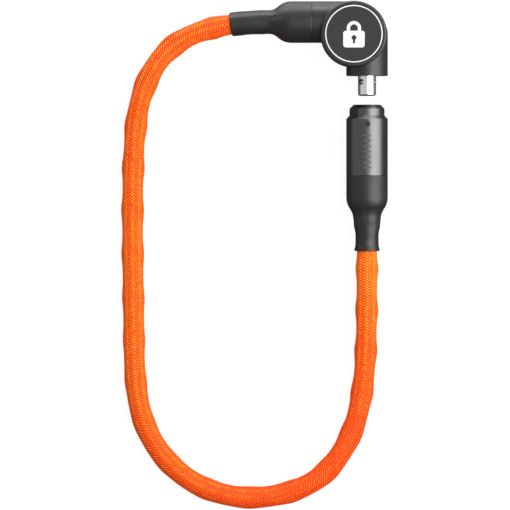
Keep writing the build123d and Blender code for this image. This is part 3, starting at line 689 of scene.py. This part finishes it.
fineLooks = {
    # moulded nitrile rubber: dead matt black
    "nitrileRubberMoulded": {"dark": "#171717", "pale": "#232323", "scale": 900.0, "detail": 2.0, "bump": 0.3,
                             "depth": 0.00005, "roughness": 0.75, "specular": 0.5},
    # polycarbonate badge with a matt grey print: flat, with the fine sand of its film
    "polycarbonateMattPrint": {"dark": "#202021", "pale": "#2A2A2B", "scale": 1300.0, "detail": 1.0, "bump": 0.25,
                               "depth": 0.00005, "roughness": 0.65, "specular": 0.3},
    # screen ink: flat white, very slightly uneven
    "screenInkWhite": {"dark": "#CECECE", "pale": "#DADADA", "scale": 800.0, "detail": 2.0, "bump": 0.15,
                       "depth": 0.00003, "roughness": 0.5, "specular": 0.5},
    # extruded nylon tube: dull black with faint draw marks
    "nylonExtruded": {"dark": "#1D1D1F", "pale": "#29292B", "scale": 400.0, "detail": 1.0, "bump": 0.2,
                      "depth": 0.00005, "roughness": 0.45, "specular": 0.5},
}


# one yarn as two materials: a painted lit copy for the left-leaning floats and a painted shaded copy for the
# right-leaning ones
yarnPaintedLit = makeYarn("polyesterYarnPaintedLit", yarnLook, yarnLook["leftLeaningPaintedLit"])
yarnPaintedShade = makeYarn("polyesterYarnPaintedShade", yarnLook, yarnLook["rightLeaningPaintedShade"])
underYarnPaintedShade = makeUnderYarn("polyesterYarnUnderPaintedShade", yarnLook)
heatShrink = makeHeatShrink("polyolefinHeatShrink", heatShrinkLook)
metals = {name: makeMetal(name, look) for name, look in metalLooks.items()}
fineFinishes = {name: makeFineGrained(name, look) for name, look in fineLooks.items()}

finishes = {
    "zincPowderCoated": ["lock_housing"],
    "aluminiumAnodisedBlack": ["barrel_shell"],
    "steelPolished": ["lock_bolt", "guard_disc"],
    "steelBallLapped": ["locking_ball_1", "locking_ball_2", "locking_ball_3"],
    "steelTurned": ["inner_cover", "bolt_dowel", "head_anchor_pin", "barrel_anchor_pin", "sidebar", "drive_cam",
                    "ball_driver", "ball_cup", "anchor_plug"],
    "steelZincPlated": ["cover_screws", "head_ferrule", "barrel_ferrule", "core_chain"],
    "steelBlackOxide": ["cup_screw"],
    "brassTurned": ["cylinder_shell", "key_plug", "detainer_discs", "disc_spacers"],
    "polycarbonateMattPrint": ["badge_plate"],
    "screenInkWhite": ["badge_mark", "badge_ring"],
    "nitrileRubberMoulded": ["bolt_bumper"],
    "nylonExtruded": ["rope_liner"],
    "polyesterYarnUnderPaintedShade": ["rope_sheath"],
    "polyolefinHeatShrink": ["head_sleeve", "barrel_sleeve"],
}

for finish, names in finishes.items():
    for name in names:
        slots = nodes[name].data.materials
        slots.clear()
        slots.append(bpy.data.materials[finish])
print("materials", len(bpy.data.materials))

braidTree = makeBraidTree()
rope.data.materials.append(underYarnPaintedShade)
floatsLeft = makeFloats("braidFloatsLeft", braidSettings, ropeSettings, True, yarnPaintedLit)
floatsRight = makeFloats("braidFloatsRight", braidSettings, ropeSettings, False, yarnPaintedShade)
chain = makeChain(chainSettings, metals["steelZincPlated"])
liner = makeLiner(linerSettings)
liner.data.materials.append(fineFinishes["nylonExtruded"])

# each rope piece's placement is baked into its mesh
for piece, slot in ((rope, "rope_fabric"), (floatsLeft, "rope_fabric"), (floatsRight, "rope_fabric"),
                    (liner, "liner_plastic"), (chain, "zinc_steel")):
    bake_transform(piece)
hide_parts("rope_sheath")
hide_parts("rope_liner")
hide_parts("core_chain")

# distances along each sleeve from its seam, and radii there
sleeveSettings = {
    "head": {
        "outer": [(0, 0.01400), (0.0136, 0.01400), (0.0163, 0.01380), (0.0190, 0.01310), (0.0217, 0.01165),
                  (0.0244, 0.00965), (0.0270, 0.00845), (0.0297, 0.00812), (0.0350, 0.00806), (0.0550, 0.00800)],
        "inner": [(0, 0.01295), (0.0159, 0.01295), (0.0160, 0.00945), (0.0175, 0.00945), (0.0176, 0.00765),
                  (0.0331, 0.00765), (0.0332, 0.00710)],
        "seed": 3,
    },
    "barrel": {
        "outer": [(0, 0.01400), (0.0140, 0.01400), (0.0166, 0.01387), (0.0200, 0.01305), (0.0234, 0.01130),
                  (0.0267, 0.00998), (0.0301, 0.00935), (0.0335, 0.00875), (0.0368, 0.00825), (0.0402, 0.00795),
                  (0.0436, 0.00775), (0.0469, 0.00790), (0.0500, 0.00850), (0.0516, 0.00870)],
        "inner": [(0, 0.01295), (0.0169, 0.01295), (0.0170, 0.00945), (0.0185, 0.00945), (0.0186, 0.00765),
                  (0.0341, 0.00765), (0.0342, 0.00710)],
        "seed": 8,
    },
    "around": 96, "step": 0.0006, "innerStep": 0.003,
    "boreFrom": 0.034,        # past the ferrule the bore is plain
    "edge": 0.00021,          # how far each end rolls in
    "folds": 5, "fold": 0.00012, "foldWaves": (3, 8), "foldDrift": 60,
    "foldsAt": 0.0255, "foldsOver": 0.0055,
    "dents": 4, "dent": 0.0001, "dentWaves": (0.009, 0.02), "dentDrift": 90,
    "dentsFrom": 0.026, "dentsOver": 0.008,
    "turn": 6.28,
    "lowest": 0.00003,        # it rests on the surface
}


def smoothProfile(stations, at):
    # a curve through the stations that never overshoots them
    x, y = (np.array(column, float) for column in zip(*stations))
    rise = np.diff(y) / np.diff(x)
    slope = np.zeros(len(x))
    both = rise[:-1] * rise[1:]
    slope[1:-1] = np.where(both > 0, 2 * both / np.where(both > 0, rise[:-1] + rise[1:], 1), 0)
    slope[-1] = rise[-1]
    k = np.clip(np.searchsorted(x, at, side="right") - 1, 0, len(x) - 2)
    h = x[k + 1] - x[k]
    t = np.clip((at - x[k]) / h, 0, 1)
    return ((2 * t ** 3 - 3 * t ** 2 + 1) * y[k] + (t ** 3 - 2 * t ** 2 + t) * h * slope[k]
            + (3 * t ** 2 - 2 * t ** 3) * y[k + 1] + (t ** 3 - t ** 2) * h * slope[k + 1])


def makeSleeve(name, line, look, c):
    # outer skin down to the rolled end, then back along the bore
    chance = np.random.default_rng(look["seed"])
    n = c["around"]
    angle = np.linspace(0, 2 * np.pi, n, endpoint=False)[None, :]
    s = np.linspace(0, line.length, int(line.length / c["step"]) + 1)[:, None]
    radius = smoothProfile(look["outer"], s) * np.ones_like(angle)
    # soft folds where it draws in, flats where it shrank onto the rope
    shoulder = np.exp(-((s - c["foldsAt"]) / c["foldsOver"]) ** 2)
    thin = smoothStep((s - c["dentsFrom"]) / c["dentsOver"])
    for _ in range(c["folds"]):
        folds, phase = chance.integers(*c["foldWaves"]), chance.uniform(0, c["turn"])
        drift = chance.uniform(-c["foldDrift"], c["foldDrift"])
        radius -= c["fold"] * shoulder * np.cos(folds * angle + phase + drift * s) ** 2
    for _ in range(c["dents"]):
        phase, drift = chance.uniform(0, c["turn"]), chance.uniform(-c["dentDrift"], c["dentDrift"])
        waves = np.cos(c["turn"] * s / chance.uniform(*c["dentWaves"]) + phase)
        radius += c["dent"] * thin * np.cos(2 * angle + phase + drift * s) * waves
    radius[0] -= c["edge"]
    radius[-1] -= c["edge"]
    x, y = zip(*look["inner"])
    back = np.arange(c["boreFrom"], line.length, c["innerStep"])
    back = np.unique(np.concatenate([back, [line.length], x]))[::-1]
    bore = np.interp(back, x, y)[:, None] * np.ones_like(angle)
    bore[0] += c["edge"]
    at = np.concatenate([s[:, 0], back])
    out, _ = line.around(at[:, None], angle)
    places = line.place(at)[:, None] + out * np.concatenate([radius, bore])[..., None]
    places[..., 2] = np.maximum(places[..., 2], c["lowest"])
    sleeve = addObject(name, meshFrom(name, places.reshape(-1, 3), ringFaces(len(at), n, closed=True)))
    sleeve.data.materials.append(heatShrink)
    return sleeve


# each sleeve's line: straight from its seam, then with the rope
armSeam, barrelSeam = (-0.02805, 0.0082, 0.014), (0.009, -0.09505, 0.014)
headLine = Line([armSeam, *ropePath.place(np.linspace(0, headExit, 40))])
barrelLine = Line([barrelSeam, *ropePath.place(np.linspace(ropePath.length, barrelExit, 40))])
headSleeve = makeSleeve("headShrinkSleeve", headLine, sleeveSettings["head"], sleeveSettings)
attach(headSleeve, "head")
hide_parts("head_sleeve")
barrelSleeve = makeSleeve("barrelShrinkSleeve", barrelLine, sleeveSettings["barrel"], sleeveSettings)
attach(barrelSleeve, "barrel")
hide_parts("barrel_sleeve")
print("sleeves", round(headLine.length, 4), "and", round(barrelLine.length, 4), "m")

studioSettings = {
    "paper": "#5E5E5E", "paperFleck": "#626262", "glow": 0.92,
    "backGlow": 2.4, "backFrom": 0.026, "backTo": 0.06,
    # strength behind the lock, and where along Y it comes in
    "skyWay": (-0.45, 0.85, 0.25), "skySpread": 0.7, "skyDark": 0.36, "skyBright": 0.7,
    "floorHalf": 3.0,
    "middle": (-0.066, -0.149, 0.0),    # what the lights face
    "lights": {
        # name: place, size, power in watts
        "keyRight": ((0.70, -0.12, 0.63), (0.98, 1.1), 13.0),
        "wideRight": ((0.50, -0.12, 0.92), (0.95, 1.15), 4.0),
        "lowBack": ((-0.05, 0.80, 0.14), (1.4, 0.26), 7.0),
    },
}


def makeFloor(c):
    # a light table: its glow shows white and keeps shadows faint; the lock itself only gets the glow
    # from behind it
    half = c["floorHalf"]
    corners = [(-half, -half, 0), (half, -half, 0), (half, half, 0), (-half, half, 0)]
    floor = addObject("floor", meshFrom("floor", corners, [(0, 1, 2, 3)], False))
    material, tree, shader = newMaterial("acrylicOpalMatt")
    at = addNode(tree, "ShaderNodeTexCoord")
    fine = addNode(tree, "ShaderNodeTexNoise", {"Scale": 400.0}, {"Vector": at.outputs["Object"]})
    colour = addNode(tree, "ShaderNodeMix",
                     {"data_type": "RGBA", 6: hexToLinear(c["paper"]), 7: hexToLinear(c["paperFleck"])},
                     {0: fine.outputs[0]})
    place = addNode(tree, "ShaderNodeSeparateXYZ", links={0: at.outputs["Object"]})
    behind = addNode(tree, "ShaderNodeMapRange",
                     {"interpolation_type": "SMOOTHSTEP", "From Min": c["backFrom"], "From Max": c["backTo"],
                      "To Min": 0.0, "To Max": c["backGlow"]}, {"Value": place.outputs[1]})
    path = addNode(tree, "ShaderNodeLightPath")
    glow = addNode(tree, "ShaderNodeMix", {"data_type": "FLOAT", 3: c["glow"]},
                   {0: path.outputs["Is Camera Ray"], 2: behind.outputs[0]})
    dress(tree, shader, {"Roughness": 0.9, "Specular IOR Level": 0.1, "Emission Color": (1, 1, 1, 1)},
          {"Base Color": colour.outputs[2], "Emission Strength": glow.outputs[0]})
    floor.data.materials.append(material)


def makeSky(c):
    # soft room light, brighter behind and on the left
    world = bpy.data.worlds.new("studio")
    world.use_nodes = True
    tree = world.node_tree
    tree.nodes.clear()
    at = addNode(tree, "ShaderNodeTexCoord")
    way = addNode(tree, "ShaderNodeVectorMath", {"operation": "DOT_PRODUCT", 1: c["skyWay"]},
                  {0: at.outputs["Generated"]})
    strength = addNode(tree, "ShaderNodeMapRange",
                       {"interpolation_type": "SMOOTHSTEP", "From Min": -c["skySpread"],
                        "From Max": c["skySpread"], "To Min": c["skyDark"], "To Max": c["skyBright"]},
                       {"Value": way.outputs["Value"]})
    sky = addNode(tree, "ShaderNodeBackground", {"Color": (1, 1, 1, 1)}, {"Strength": strength.outputs[0]})
    addNode(tree, "ShaderNodeOutputWorld", links={0: sky.outputs[0]})
    scene.world = world


def makeLights(c):
    for name, (place, size, power) in c["lights"].items():
        data = bpy.data.lights.new(name, "AREA")
        data.shape = "RECTANGLE"
        data.size, data.size_y = size
        data.energy = power
        light = addObject(name, data)
        light.location = place
        light.rotation_euler = (Vector(c["middle"]) - Vector(place)).to_track_quat("-Z", "Y").to_euler()
        light.visible_camera = False


makeFloor(studioSettings)
makeSky(studioSettings)
makeLights(studioSettings)
scene.view_settings.view_transform = "Standard"
print("studio ready")
